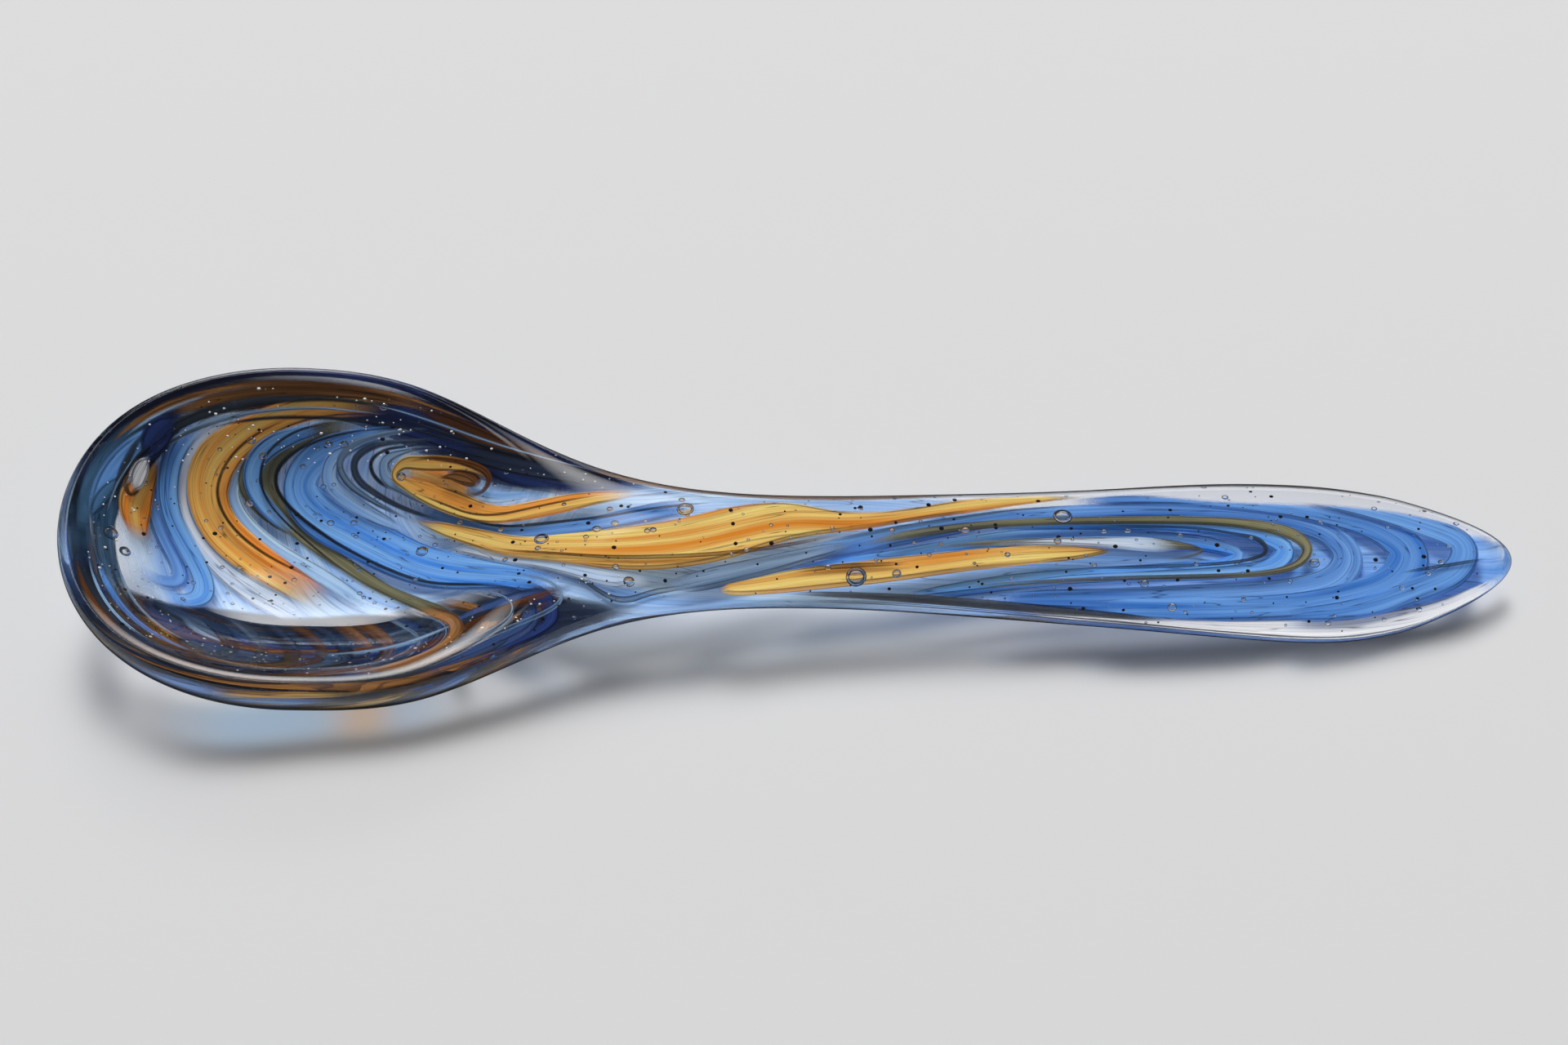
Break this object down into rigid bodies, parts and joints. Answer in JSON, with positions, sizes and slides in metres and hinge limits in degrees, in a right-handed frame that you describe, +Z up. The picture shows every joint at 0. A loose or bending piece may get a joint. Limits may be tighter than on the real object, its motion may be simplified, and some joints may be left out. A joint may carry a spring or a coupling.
{
  "type": "glass spoon",
  "caption": "Cased art-glass serving spoon with a deep oval bowl, a narrow neck and a flat leaf-ended handle, marbled with swirling blue and amber cane.",
  "frame": {"origin": "on the table, under the middle of the spoon as it lies", "axes": "+X from the bowl to the tip of the handle, +Y to the left of the handle, +Z up from the table"},
  "size_m": [0.1804, 0.0522, 0.0194],
  "materials": {
    "clear_glass": "polished clear glass",
    "amber_glass": "translucent amber glass",
    "rust_glass": "translucent burnt-orange glass",
    "umber_glass": "dense brown glass",
    "olive_glass": "translucent olive glass",
    "ink_glass": "near-black glass",
    "steel_glass": "grey-blue glass",
    "slate_glass": "slate-grey glass",
    "navy_glass": "dense navy glass",
    "deep_blue_glass": "deep blue glass",
    "blue_glass": "translucent blue glass",
    "sky_glass": "light blue glass",
    "pale_glass": "very pale blue glass"
  },
  "bodies": {
    "root": {"upper_casing": "clear_glass", "under_casing": "clear_glass", "toe_slate": "slate_glass", "toe_navy": "navy_glass", "toe_loop": "rust_glass", "toe_amber": "amber_glass", "toe_blue": "deep_blue_glass", "blue_return": "blue_glass", "pale_band": "pale_glass", "amber_crescent": "amber_glass", "crescent_line": "umber_glass", "sky_band": "sky_glass", "olive_thread": "olive_glass", "blue_inset": "blue_glass", "olive_sweep": "olive_glass", "sweep_line_a": "ink_glass", "sweep_line_b": "ink_glass", "blue_field": "blue_glass", "field_light": "sky_glass", "arc_outer": "steel_glass", "arc_mid": "ink_glass", "arc_inner": "ink_glass", "hook_halo": "sky_glass", "deep_band": "deep_blue_glass", "deep_line": "ink_glass", "amber_hook": "amber_glass", "eye_umber": "umber_glass", "eye_blue": "sky_glass", "wall_navy": "navy_glass", "near_blue": "deep_blue_glass", "near_amber": "rust_glass", "near_slate": "slate_glass", "amber_neck": "amber_glass", "neck_line": "umber_glass", "neck_pale": "pale_glass", "neck_v_line": "ink_glass", "neck_slate": "slate_glass", "amber_tongue": "amber_glass", "tongue_streak": "umber_glass", "handle_crest": "deep_blue_glass", "hairpin_olive": "olive_glass", "hairpin_blue": "deep_blue_glass", "hairpin_line": "ink_glass", "handle_blue": "blue_glass", "core_olive": "olive_glass", "core_pale": "pale_glass", "blade_blue": "blue_glass", "tip_blue": "blue_glass", "tip_line": "ink_glass"}
  },
  "joints": []
}
